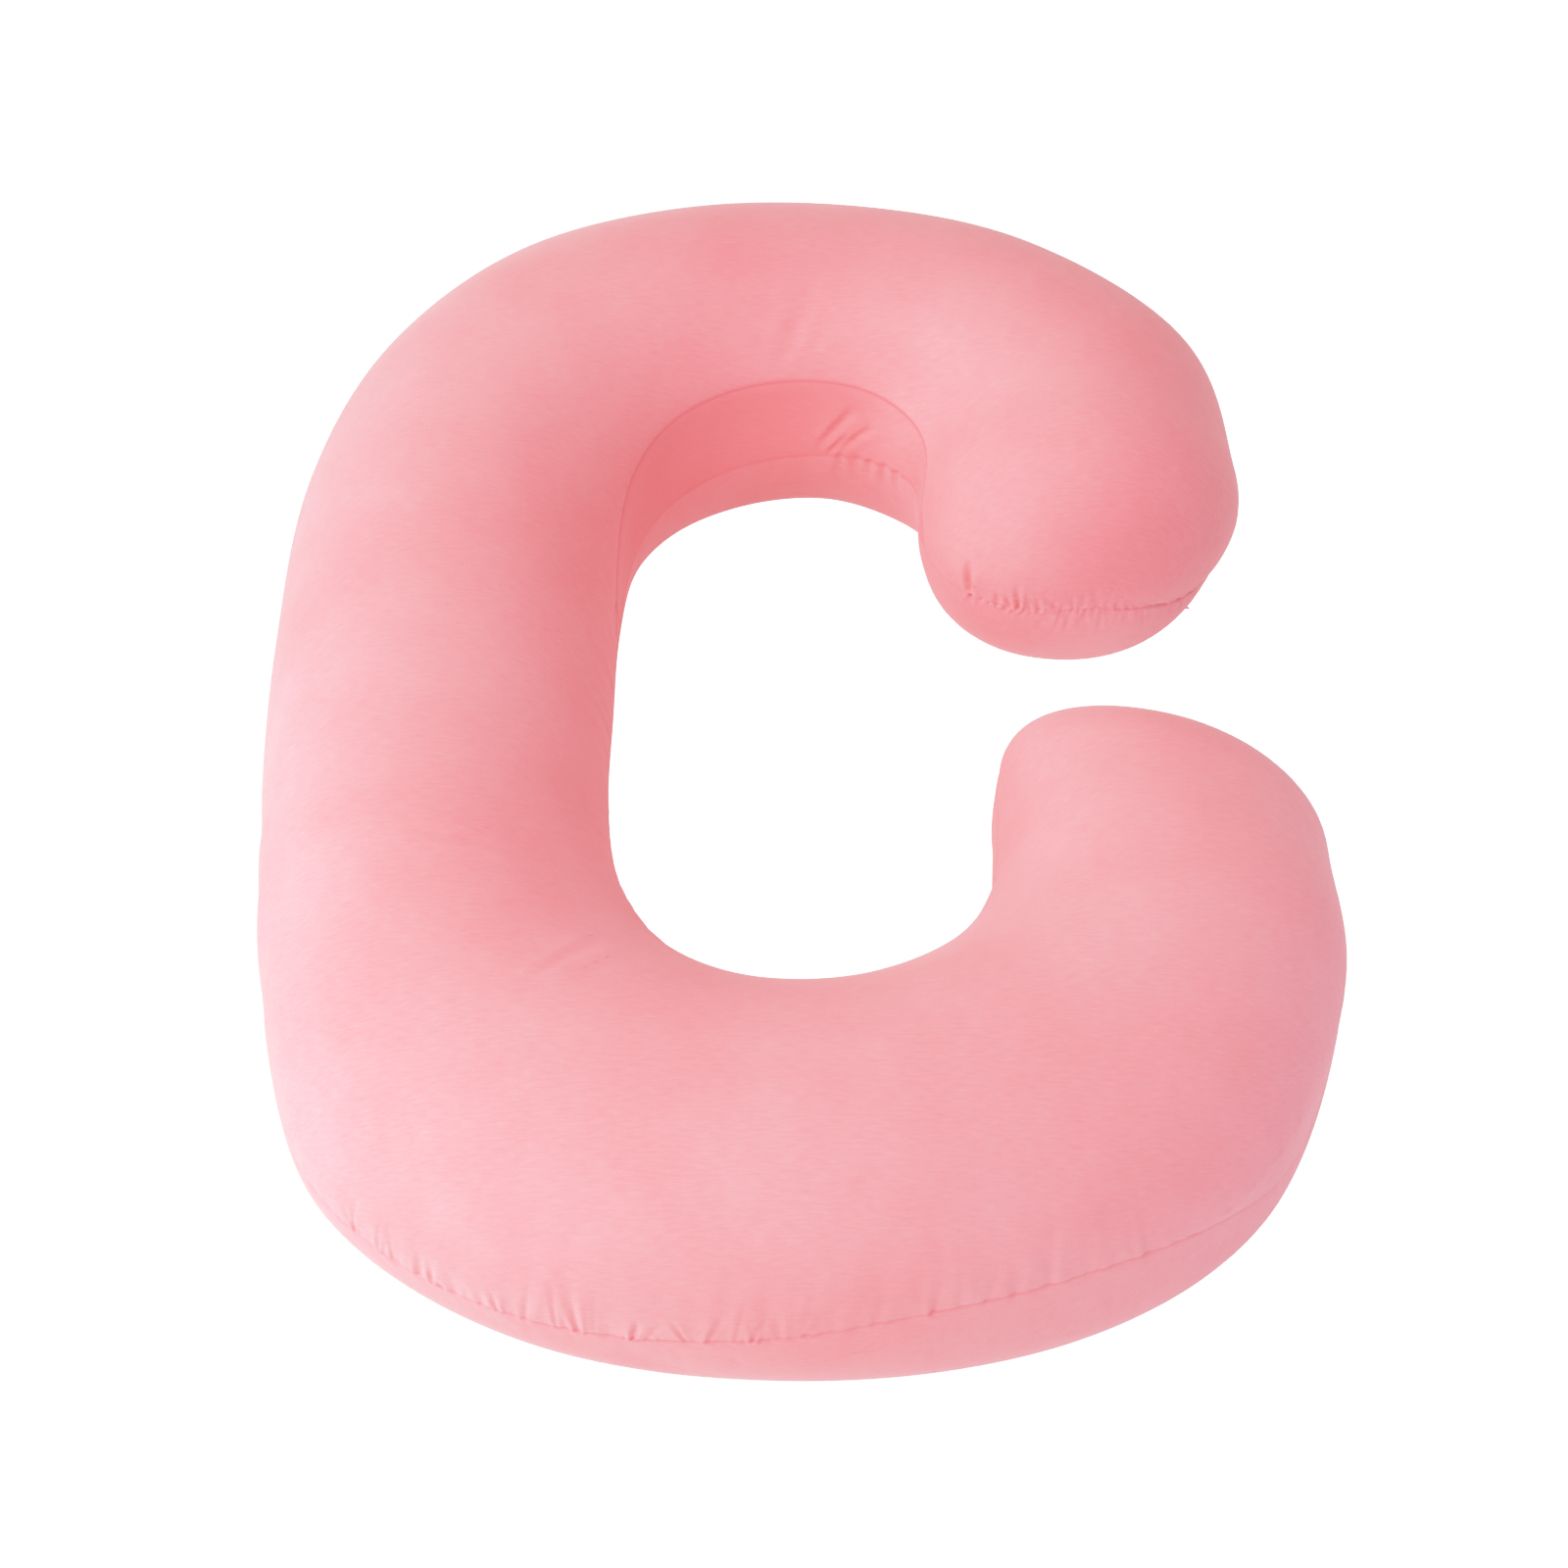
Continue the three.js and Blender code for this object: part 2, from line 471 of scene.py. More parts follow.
@dataclass(frozen=True)
class CottonFinish:
    """Plain-woven pink cotton: colour, faint slubs and a fine weave.

    The colour runs from `pale` through `light` and `deep` to `rich`, as the cloth's dye varies at random
    and as painted light and shade move it.
    """

    name: str
    pale: Triple
    light: Triple
    deep: Triple
    rich: Triple
    # The seams' darker colour: partly the thread, partly painted shade in the seams' groove.
    stitch: Triple = (0.86, 0.22, 0.25)
    tones: tuple[float, ...] = (0.2, 0.4, 0.6, 0.8)
    roughness: float = 0.9
    gloss: float = 0.25
    sheen: float = 0.3
    sheen_roughness: float = 0.5
    slubs_a_metre: Triple = (85, 560, 1)
    slub_detail: float = 3.0
    slub_share: float = 0.34
    clouds_a_metre: float = 4.6
    cloud_detail: float = 6.0
    cloud_roughness: float = 0.62
    weave_pitch: float = 0.0044
    weave_wander: float = 1.5
    weave_depth: float = 0.0002
    weave_strength: float = 0.15

    def material(self) -> bpy.types.Material:
        """Makes the finish as a procedural material that follows the cloth's own grain.

        Returns:
            The material.
        """
        cotton = bpy.data.materials.new(self.name)
        cotton.use_nodes = True
        tree = cotton.node_tree
        grain = add_node(tree, "UVMap", {}, uv_map="grain").outputs["UV"]
        surface = {
            "Base Color": self.dye_and_painted_shading(tree, grain),
            "Normal": self.woven(tree, grain),
            "Roughness": self.roughness,
            "Sheen Weight": self.sheen,
            "Sheen Roughness": self.sheen_roughness,
            "Specular IOR Level": self.gloss,
        }
        set_inputs(tree.nodes["Principled BSDF"], surface)
        return cotton

    def clouded(self, tree: Tree, grain: Socket) -> Socket:
        """Mixes fine slubs along the threads into soft clouds of more and less dye.

        Args:
            tree: The material's nodes.
            grain: The cloth's own map.

        Returns:
            How pale the cloth is, about 0.5 in the middle.
        """
        along = add_node(tree, "Mapping", {"Vector": grain, "Scale": self.slubs_a_metre})
        fine = {"Vector": along.outputs["Vector"], "Scale": 1.0, "Detail": self.slub_detail}
        slubs = add_node(tree, "TexNoise", fine)
        soft = {
            "Vector": add_node(tree, "TexCoord", {}).outputs["Object"],
            "Scale": self.clouds_a_metre,
            "Detail": self.cloud_detail,
            "Roughness": self.cloud_roughness,
        }
        clouds = add_node(tree, "TexNoise", soft)
        mixed = {"Factor": self.slub_share, "A": clouds.outputs["Fac"], "B": slubs.outputs["Fac"]}
        return add_node(tree, "Mix", mixed, data_type="FLOAT").outputs["Result"]

    def dye_and_painted_shading(self, tree: Tree, grain: Socket) -> Socket:
        """Colours the cloth: its dye varying at random, deeper patches of painted shade and paler ones of
        painted light, and the seams darker, partly for the thread and partly as painted shade in their
        groove.

        Args:
            tree: The material's nodes.
            grain: The cloth's own map.

        Returns:
            The colour.
        """
        # The `tone` mark is painted light and shade: the cloth is drawn deeper where shade is painted and
        # paler where light is painted.
        tone = add_node(tree, "Attribute", {}, attribute_name="tone").outputs["Fac"]
        paleness = {0: self.clouded(tree, grain), 1: tone}
        toned = add_node(tree, "Math", paleness, operation="SUBTRACT")
        tint = add_node(tree, "ValToRGB", {"Fac": toned.outputs["Value"]})
        ramp = tint.color_ramp
        steps = list(zip(self.tones, (self.rich, self.deep, self.light, self.pale)))
        for stop, (position, colour) in zip(ramp.elements, (steps[0], steps[-1])):
            stop.position = position
            stop.color = (*colour, 1)
        for position, colour in steps[1:-1]:
            ramp.elements.new(position).color = (*colour, 1)
        # The seams are drawn darker: partly the thread, partly painted shade in their groove.
        stitch = add_node(tree, "Attribute", {}, attribute_name="stitch").outputs["Fac"]
        sewn = {"Factor": stitch, "A": tint.outputs["Color"], "B": (*self.stitch, 1)}
        return add_node(tree, "Mix", sewn, data_type="RGBA").outputs["Result"]

    def woven(self, tree: Tree, grain: Socket) -> Socket:
        """Raises the weave a little, as threads that cross.

        Args:
            tree: The material's nodes.
            grain: The cloth's own map.

        Returns:
            The way that the raised cloth faces.
        """
        waves = {"Vector": grain, "Scale": WAVE_LENGTH / self.weave_pitch, "Distortion": self.weave_wander}
        crossed = {
            index: add_node(tree, "TexWave", waves, bands_direction=way).outputs["Fac"]
            for index, way in enumerate(("X", "Y"))
        }
        weave = add_node(tree, "Math", crossed, operation="MAXIMUM").outputs["Value"]
        raised = {"Height": weave, "Strength": self.weave_strength, "Distance": self.weave_depth}
        return add_node(tree, "Bump", raised).outputs["Normal"]


@dataclass(frozen=True)
class Crease:
    """A fold drawn into the cover: a narrow valley between two soft shoulders.

    It runs from `start` to `end`, each a station and a place across. A crease that is `rooted`
    starts at a seam, where it is deepest. Any other fades at both ends. `bend` is how far it follows
    the round of the cushion, where 1 is all the way.
    """

    start: Pair
    end: Pair
    width: float = 3.0
    depth: float = 1.2
    side: float = 1.0
    rooted: bool = False
    shoulder: float = 0.45
    bend: float = 0.8
    widths_reached: float = 5.0

    def ends(self, pattern: Pattern) -> Array:
        """Finds the crease's two ends, also where one lies past a seam on the other panel.

        Args:
            pattern: The cover's pattern.

        Returns:
            The two places, in millimetres.
        """
        stations, across = np.array([self.start, self.end]).T
        if self.rooted:
            step = pattern.to_seam(*self.start, self.side)
            stations, across = stations + step[0], across + step[1]
        side = np.full(2, self.side)
        past_tip = np.maximum(-1 - stations, stations - pattern.last - 1)
        side[(past_tip > 0) | (np.abs(across) > 1)] *= -1
        stations = np.where(past_tip > 0, stations - np.copysign(2 * past_tip, stations), stations)
        across = np.where(np.abs(across) > 1, np.copysign(2 - np.abs(across), across), across)
        return pattern.cover(stations, across, side)

    def near(self, pattern: Pattern, places: Array) -> Array:
        """Picks the points that the crease can move.

        Args:
            pattern: The cover's pattern.
            places: The points, in millimetres.

        Returns:
            Their row numbers.
        """
        first, last = self.ends(pattern)
        reach = np.linalg.norm(last - first) / 2 + self.widths_reached * self.width
        return np.flatnonzero(((places - (first + last) / 2) ** 2).sum(1) < reach**2)

    def lie(self, pattern: Pattern, places: Array, facing: Array) -> tuple[Array, Array]:
        """Where points of the cover lie from the crease.

        Args:
            pattern: The cover's pattern.
            places: The points, in millimetres.
            facing: The cover's outward directions there.

        Returns:
            How far each point is beside the crease, and its share along it.
        """
        first, last = self.ends(pattern)
        run = last - first
        offset = places - first
        along = np.clip(offset @ run / (run @ run), 0, 1)
        offset = offset - along[:, None] * run
        off_cloth = (offset * facing).sum(1)
        return np.sqrt((offset**2).sum(1) - self.bend * off_cloth**2), along

    def inward(self, beside: Array, along: Array) -> Array:
        """How deep the crease draws the cover in.

        Args:
            beside: How far each point is beside the crease, in millimetres.
            along: Its share of the way along the crease.

        Returns:
            The points' depths, below nought on the shoulders.
        """
        strength = (1 - along) ** 0.8 if self.rooted else np.sin(math.pi * along) ** 0.7
        width = self.width * (0.7 + 0.6 * along)
        valley = bell(beside, width)
        ridge = bell(beside - 2.1 * width, width)
        return self.depth * strength * (valley - self.shoulder * ridge)


@dataclass(frozen=True)
class Gathers:
    """A stretch of seam where the cloth is gathered into many small creases.

    It runs from `first` to `last`, each a station and a place across. `reach`, `depth` and `width`
    are each the least and the most, and a larger `skew` makes deep ones rarer.
    """

    first: Pair
    last: Pair
    count: int
    reach: Pair
    depth: Pair
    width: Pair = (2.0, 3.6)
    side: float = 1.0
    skew: float = 2.0
    seed: int = 1
    slant: float = 0.05
    tip_length: float = 1.4
    tip_turn: float = 1.3

    def creases(self, pattern: Pattern) -> list[Crease]:
        """Draws the stretch's creases, each square to the seam but for a little slant.

        Args:
            pattern: The cover's pattern.

        Returns:
            The creases, from first to last.
        """
        dice = random.Random(self.seed)
        quarter = pattern.arm_radius * math.pi / 2
        made = []
        for index in range(self.count):
            share = (index + dice.uniform(0.1, 0.9)) / self.count
            station, across = (a + (b - a) * share for a, b in zip(self.first, self.last))
            strong = dice.random() ** self.skew
            reach = (self.reach[0] + (self.reach[1] - self.reach[0]) * dice.random() ** 1.5) / quarter
            if self.first[0] == self.last[0]:
                step = reach * self.tip_length
                end = (station + math.copysign(step, -station), across * (1 - self.tip_turn * step))
            else:
                slant = dice.uniform(-self.slant, self.slant)
                end = (station + slant, across - math.copysign(reach, across))
            depth = self.depth[0] + (self.depth[1] - self.depth[0]) * strong
            width = dice.uniform(*self.width)
            made.append(Crease((station, across), end, width, depth, self.side, rooted=True))
        return made


@dataclass(frozen=True)
class PaintedLightAndShade:
    """A soft patch of painted shade, where the cover is drawn deeper, or of painted light, where `tone` is
    negative and it is drawn paler.
    """

    station: float
    across: float
    spread: float
    tone: float
    side: float = 1.0

    def on(self, pattern: Pattern, places: Array) -> Array:
        """How much the patch of painted shade deepens the cloth at each of the points, or the patch of
        painted light makes it paler.

        Args:
            pattern: The cover's pattern.
            places: The points, in millimetres.

        Returns:
            The points' change of tone.
        """
        spot = (np.array([value]) for value in (self.station, self.across, self.side))
        middle = pattern.cover(*spot)[0]
        return self.tone * np.exp(-((places - middle) ** 2).sum(1) / self.spread**2)


# Round the outer side of the spine, on the leg arm, and at the tip of the leg end.
OUTER_GATHERS = (
    Gathers((0.6, 1.0), (9.4, 1.0), 44, (8, 40), (0.15, 0.8), (2.2, 4.5), seed=2),
    Gathers((15.4, 1.0), (16.9, 1.0), 9, (8, 35), (0.15, 0.6), (2.2, 4.5), seed=11),
    Gathers((18.0, -0.9), (18.0, 0.9), 14, (6, 28), (0.2, 0.9), (1.8, 3.4), seed=12),
)

# Along the front of the bottom: fine ones at the seam, then longer and softer ones over them.
FRONT_GATHERS = (
    Gathers((9.6, 1.0), (11.2, 1.0), 20, (12, 55), (0.1, 0.6), (2.0, 3.6), skew=1.5, seed=3),
    Gathers((11.2, 1.0), (13.0, 1.0), 34, (10, 60), (0.3, 1.7), (1.6, 3.2), skew=1.5, seed=4),
    Gathers((12.6, 1.0), (15.2, 1.0), 30, (30, 95), (0.2, 0.8), (3.0, 5.5), skew=1.0, seed=5),
    Gathers((12.0, 1.0), (15.2, 1.0), 20, (30, 55), (0.15, 0.4), (3.5, 5.5), -1.0, 1.0, seed=14),
    Gathers((10.8, 1.0), (14.4, 1.0), 24, (55, 110), (0.5, 1.0), (6.0, 9.0), seed=9),
)

# On the hole side of the spine and of the bottom, where the cloth has to turn in.
HOLLOW_GATHERS = (
    Gathers((10.4, -1.0), (12.4, -1.0), 9, (70, 150), (0.4, 0.9), (5.0, 8.0), seed=10),
    Gathers((7.0, -0.95), (10.6, -0.95), 18, (60, 140), (0.4, 1.1), (3.6, 6.5), seed=13),
)

# Round the tip of the head end, above its seam and below it.
HEAD_GATHERS = (
    Gathers((-1.0, -0.96), (-1.0, 0.62), 34, (8, 24), (0.5, 1.7), (1.6, 2.6), skew=1.0, seed=6),
    Gathers((-1.0, -0.96), (-1.0, 0.62), 30, (10, 28), (0.5, 1.6), (1.6, 2.8), -1.0, 1.0, seed=7),
)

# Under the gusset, inside the neck.
NECK_GATHERS = (
    Gathers((1.4, -1.0), (2.7, -1.0), 5, (30, 50), (1.4, 2.4), (3.6, 5.6), -1.0, 1.0, seed=8),
)

# The slanting folds on the gusset.
GUSSET_FOLDS = (
    Crease((2.90, -0.963), (2.40, -0.750), 3.2, 2.8),
    Crease((2.57, -0.975), (2.07, -0.825), 2.8, 2.2),
    Crease((2.75, -0.985), (2.45, -0.90), 2.2, 1.4),
)

# The soft folds on the upper panel above the gusset.
NECK_FOLDS = (
    Crease((3.49, -0.579), (3.09, -0.170), 8.0, 1.5),
    Crease((3.28, -0.60), (2.86, -0.24), 6.0, 0.9),
)

# The fold at the lower left corner of the open middle, and the fine creases that fan out above it.
CORNER_FAN = tuple(
    Crease(*sizes, bend=0.98)
    for sizes in (
        ((11.25, -0.05), (11.22, -0.36), 4.2, 1.8),
        ((11.00, -0.25), (10.79, -0.01), 4.0, 0.7),
        ((10.86, -0.41), (10.57, -0.08), 3.6, 0.9),
        ((10.59, -0.52), (10.29, -0.10), 3.6, 0.9),
        ((10.24, -0.62), (10.05, -0.08), 3.6, 0.8),
        ((10.25, -0.27), (9.90, 0.09), 4.0, 0.6),
        ((9.62, -0.72), (9.73, -0.15), 4.0, 0.7),
        ((11.42, -0.07), (11.48, -0.35), 4.0, 0.6),
    )
)

# The deeper slits along the seam of the head end, from the hole side outwards.
HEAD_SLITS = (
    Crease((-0.95, -0.97), (-0.60, -0.62), 2.8, 4.2),
    Crease((-0.95, -0.97), (-0.78, -0.79), 2.4, 2.6, -1.0, rooted=True),
    Crease((-1.0, -0.80), (-0.84, -0.60), 2.0, 2.2, rooted=True),
    Crease((-1.0, -0.62), (-0.80, -0.44), 2.2, 3.2, rooted=True),
    Crease((-1.0, -0.34), (-0.92, -0.29), 2.0, 2.2, rooted=True),
    Crease((-1.0, -0.10), (-0.92, -0.09), 2.0, 1.8, -1.0, rooted=True),
    Crease((-1.0, 0.14), (-0.94, 0.13), 2.0, 1.8, rooted=True),
)

# The broad tuck under the outer corner of the head end.
HEAD_TUCK = Crease((0.35, 0.56), (-1.0, 0.62), 40.0, 7.0, -1.0, shoulder=0.0)

# The deeper puckers along the front of the bottom, with two broad soft folds among them.
FRONT_PUCKERS = (
    Crease((11.28, 1.0), (11.24, 0.86), 2.4, 1.0, rooted=True),
    Crease((11.65, 1.0), (11.66, 0.84), 2.6, 1.4, rooted=True),
    Crease((11.92, 1.0), (11.90, 0.88), 2.4, 1.6, rooted=True),
    Crease((12.22, 1.0), (12.18, 0.76), 3.0, 2.2, rooted=True),
    Crease((12.40, 1.0), (12.42, 0.89), 2.2, 3.0, rooted=True),
    Crease((12.78, 1.0), (12.80, 0.91), 2.4, 2.4, rooted=True),
    Crease((13.22, 0.92), (13.20, 0.55), 9.0, 0.7),
    Crease((13.40, 1.0), (13.42, 0.86), 3.0, 1.2, rooted=True),
    Crease((13.88, 0.92), (13.84, 0.66), 8.0, 0.5),
)

# Painted shade: patches drawn a deeper pink where less light falls, above the neck and along the bottom of
# the C.
PAINTED_SHADE = (
    PaintedLightAndShade(3.85, -0.19, 75.0, 0.22),
    PaintedLightAndShade(10.87, 0.35, 85.0, 0.16),
    PaintedLightAndShade(13.14, 0.88, 80.0, 0.14),
)
# Painted light: patches drawn a paler pink where more light falls, at the neck, round the head end and on
# the leg arm.
PAINTED_LIGHT = (
    PaintedLightAndShade(1.71, -0.80, 35.0, -0.22),
    PaintedLightAndShade(-0.60, -0.45, 60.0, -0.20),
    PaintedLightAndShade(-0.80, 0.0, 60.0, -0.24, side=-1.0),
    PaintedLightAndShade(16.16, -0.29, 70.0, -0.12),
    PaintedLightAndShade(14.93, -0.15, 60.0, -0.08),
)


@dataclass(frozen=True)
class Filling:
    """The filling, which pumps the cover up against its seams.

    `gathered` is how much the outer seam takes up, by station, and `most` is the furthest that any
    point moves, in millimetres.
    """

    pressure: float = 4.0
    frames: int = 20
    quality: int = 6
    gathered: Curve = ((-1, 1), (0, 1), (0.6, 0), (8, 0), (10.5, 1), (12.0, 1), (14.5, 0))
    seam_take_up: float = 0.02
    take_up_reach: float = 16.0
    floor_reach: float = 6.0
    cloth_give: float = -0.004
    most: float = 3.0

    def pump(self, sheet: Cloth, take_up: Array, pressed: Array) -> None:
        """Lets the cover settle as cloth under pressure.

        Args:
            sheet: The closed cover, whose corners are moved.
            take_up: How much of the seams' take-up reaches each corner, from 0 to 1.
            pressed: Which corners the floor holds.
        """
        piece = show_sheet("cover_cloth", sheet)
        tight = piece.vertex_groups.new(name="tight")
        hold = piece.vertex_groups.new(name="hold")
        for index, (share, held) in enumerate(zip(take_up, pressed)):
            tight.add([index], float(share), "REPLACE")
            if held:
                hold.add([index], 1.0, "REPLACE")
        cloth = piece.modifiers.new("cloth", "CLOTH")
        settings = cloth.settings
        settings.quality = self.quality
        settings.use_pressure = True
        settings.uniform_pressure_force = self.pressure
        settings.vertex_group_shrink = tight.name
        settings.shrink_min = self.cloth_give
        settings.shrink_max = self.seam_take_up
        settings.vertex_group_mass = hold.name
        settings.effector_weights.gravity = 0.0
        cloth.point_cache.frame_end = self.frames
        scene = bpy.context.scene
        for moment in range(1, self.frames + 1):
            scene.frame_set(moment)
        settled = piece.evaluated_get(bpy.context.evaluated_depsgraph_get()).to_mesh()
        limit = self.most * MM
        for vert, grown in zip(sheet.verts, settled.vertices):
            move = grown.co - vert.co
            if move.length > 0:
                vert.co += move * (math.tanh(move.length / limit) * limit / move.length)
        scene.frame_set(1)
        take_away(piece)


@dataclass
class Cushion:
    """The filled pillow, sewn from its panels."""

    pattern: Pattern = field(default_factory=Pattern)
    filling: Filling = field(default_factory=Filling)
    columns_per_section: int = 10
    columns_per_end: int = 10
    rows_wide: int = 28
    rows_gusset: int = 6
    crowding_at_tips: float = 0.5
    crowding_at_seams: float = 0.7
    weld: float = 0.02 * MM
    coarse: float = 12.0
    fine_steps: tuple[float, ...] = (3.4, 1.7, 1.2)
    fine_near_seams: Curve = ((9.0, 3.4), (4.0, 1.7))
    crease_fineness: float = 0.66
    crease_margin: float = 2.3
    longest_edge: float = 1.4
    seam_draw_in: float = 0.6
    seam_valley: float = 6.0
    stitch_depth: float = 0.7
    stitch_width: float = 1.3
    gusset_slack: float = 1.4
    gusset_draw_in: float = 1.0
    gusset_tip: float = math.radians(8)
    outer_seam: Curve = (
        (-1, 0.9), (0, 0.9), (1, 0.5), (9, 0.5), (11.6, 0.4), (12.2, 0.9), (14.6, 0.7), (15.2, 0.25))
    hole_seam: Curve = ((-1, 0.15), (-0.5, 0.25), (0, 0.7), (15, 0.7), (16, 0.9), (18, 0.5))
    seam_change: Curve = ((-0.1, 0), (0.4, 1))
    gathers: tuple[Gathers, ...] = (
        *OUTER_GATHERS, *FRONT_GATHERS, *HOLLOW_GATHERS, *HEAD_GATHERS, *NECK_GATHERS)
    creases: tuple[Crease, ...] = (
        *GUSSET_FOLDS, *NECK_FOLDS, *CORNER_FAN, *HEAD_SLITS, HEAD_TUCK, *FRONT_PUCKERS)
    # Patches of painted shade and painted light.
    painted_shading: tuple[PaintedLightAndShade, ...] = (*PAINTED_SHADE, *PAINTED_LIGHT)

    @staticmethod
    def ladder(count: int, crowding: float) -> Array:
        """Rungs from 0 to 1 that lie closer together at both ends.

        Args:
            count: The number of steps.
            crowding: The size of the end steps as a share of the mean step.

        Returns:
            The rungs, count + 1 of them.
        """
        even = np.linspace(0, 1, count + 1)
        return even - (1 - crowding) * np.sin(math.tau * even) / math.tau

    def stations(self) -> Array:
        """Spaces the cloth's columns, closer together towards the tips of the ends.

        Returns:
            The columns' stations, with one at each tip of the gusset.
        """
        pattern = self.pattern
        body = np.linspace(0, pattern.last, pattern.last * self.columns_per_section + 1)
        body[np.abs(body - pattern.gusset_last).argmin()] = pattern.gusset_last
        rungs = self.ladder(2 * self.columns_per_end, self.crowding_at_tips)
        steps = rungs[self.columns_per_end :] * 2 - 1
        head, leg = -steps[::-1], pattern.last + steps
        head[np.abs(head - pattern.gusset_first).argmin()] = pattern.gusset_first
        return np.concatenate([head[:-1], body, leg[1:]])

    def lay_panel(self, sheet: Cloth, panel: Panel, stations: Array, rows: int) -> None:
        """Lays one panel of cloth as a grid, with each corner's place on the pattern.

        Args:
            sheet: The mesh that the panel is added to.
            panel: Which panel it is.
            stations: The stations of its columns.
            rows: The number of rows across it.
        """
        pattern = self.pattern
        rungs = self.ladder(rows, self.crowding_at_seams)
        low, high = -np.ones_like(stations), np.ones_like(stations)
        top_of_gusset = -1 + pattern.climb(stations) * 2 / math.pi
        if panel is Panel.UPPER:
            low = top_of_gusset
        elif panel is Panel.GUSSET:
            high = top_of_gusset
        columns = len(stations) - 1
        made = bmesh.ops.create_grid(sheet, x_segments=columns, y_segments=rows, size=1.0)
        layers = [sheet.verts.layers.float[name] for name in ("station", "across", "side")]
        for vert in made["verts"]:
            column = round((vert.co.x + 1) / 2 * columns)
            row = round((vert.co.y + 1) / 2 * rows)
            station = stations[column]
            across = low[column] + (high[column] - low[column]) * rungs[row]
            on_seam = abs(across) > 1 - 1e-9 or station in (-1, pattern.last + 1)
            for layer, value in zip(layers, (station, across, 0.0 if on_seam else panel.side)):
                vert[layer] = value
        # The gusset takes the deeper copy of the cotton, which is painted shade.
        for face in {face for vert in made["verts"] for face in vert.link_faces}:
            face.material_index = int(panel is Panel.GUSSET)
        log.info("%s laid: %d columns, %d rows", panel.value, columns, rows)

    @staticmethod
    def params(sheet: Cloth) -> tuple[Array, Array, Array]:
        """Reads where every corner is on the pattern.

        Args:
            sheet: The cover.

        Returns:
            The corners' stations, places across and sides.
        """
        layers = [sheet.verts.layers.float[name] for name in ("station", "across", "side")]
        table = np.array([[vert[layer] for layer in layers] for vert in sheet.verts])
        return table[:, 0], table[:, 1], table[:, 2]

    @staticmethod
    def places(sheet: Cloth) -> Array:
        """Reads where every corner is.

        Args:
            sheet: The cover.

        Returns:
            The places, in millimetres.
        """
        return np.array([vert.co[:] for vert in sheet.verts]) / MM

    @staticmethod
    def place(sheet: Cloth, points: Array) -> None:
        """Moves every corner to its point.

        Args:
            sheet: The cover.
            points: One point for each corner, in millimetres.
        """
        for vert, point in zip(sheet.verts, points * MM):
            vert.co = Vector(point)

    @staticmethod
    def mark(sheet: Cloth, name: str, values: Array) -> None:
        """Gives every corner a value that its finish can read.

        Args:
            sheet: The cover.
            name: What the value is called.
            values: One value for each corner.
        """
        layer = sheet.verts.layers.float.new(name)
        for vert, value in zip(sheet.verts, values):
            vert[layer] = value

    def from_seams(self, sheet: Cloth) -> tuple[Array, Array]:
        """Measures every corner from the seams, along the round of the arm.

        Args:
            sheet: The cover.

        Returns:
            How far each corner is from the side seam and from the gusset's top seam.
        """
        pattern = self.pattern
        station, across, side = self.params(sheet)
        rise = pattern.rise(station, across)
        climb = pattern.climb(station)
        on_neck = (across < 0) & (side >= 0) & (climb > 0)
        from_top = np.where(on_neck, np.abs(rise - climb) * pattern.arm_radius, FAR)
        above = rise * np.sign(side) * pattern.arm_radius
        return np.abs(above + pattern.sag(station, across)), from_top

    def sew(self) -> Cloth:
        """Lays the panels and joins them along their seams.

        Returns:
            The closed, smooth cover in metres.
        """
        sheet = bmesh.new()
        for name in ("station", "across", "side"):
            sheet.verts.layers.float.new(name)
        pattern, stations = self.pattern, self.stations()
        inside = (stations > pattern.gusset_first - 1e-9) & (stations < pattern.gusset_last + 1e-9)
        self.lay_panel(sheet, Panel.UPPER, stations, self.rows_wide)
        self.lay_panel(sheet, Panel.LOWER, stations, self.rows_wide)
        self.lay_panel(sheet, Panel.GUSSET, stations[inside], self.rows_gusset)
        self.place(sheet, pattern.cover(*self.params(sheet)))
        bmesh.ops.remove_doubles(sheet, verts=sheet.verts[:], dist=self.weld)
        bmesh.ops.recalc_face_normals(sheet, faces=sheet.faces[:])
        log.info("cover sewn: %d faces", len(sheet.faces))
        return sheet

    def take_up(self, sheet: Cloth) -> Array:
        """How much of the gathered seams' take-up reaches every corner.

        Args:
            sheet: The sewn cover.

        Returns:
            The corners' shares, from 0 to 1.
        """
        station, across, _ = self.params(sheet)
        from_side, _ = self.from_seams(sheet)
        gathered = read_off(station, self.filling.gathered)
        gathered = np.where((across > 0) | (station < 0), gathered, 0)
        return gathered * bell(from_side, self.filling.take_up_reach)

    def fill(self, sheet: Cloth) -> Cloth:
        """Pumps the cover up and smooths it once.

        Args:
            sheet: The closed cover, which is freed.

        Returns:
            The filled cover, where each corner keeps how far the filling moved it.
        """
        pressed = self.places(sheet)[:, 2] < self.filling.floor_reach
        self.filling.pump(sheet, self.take_up(sheet), pressed)
        piece = show_sheet("cover_smooth", sheet)
        sheet.free()
        smooth = piece.modifiers.new("smooth", "SUBSURF")
        smooth.levels = smooth.render_levels = 1
        filled = bmesh.new()
        filled.from_object(piece, bpy.context.evaluated_depsgraph_get())
        take_away(piece)
        puff = filled.verts.layers.float_vector.new("puff")
        moves = (self.places(filled) - self.pattern.cover(*self.params(filled))) * (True)
        for vert, move in zip(filled.verts, moves):
            vert[puff] = Vector(move)
        self.settle(filled)
        return filled

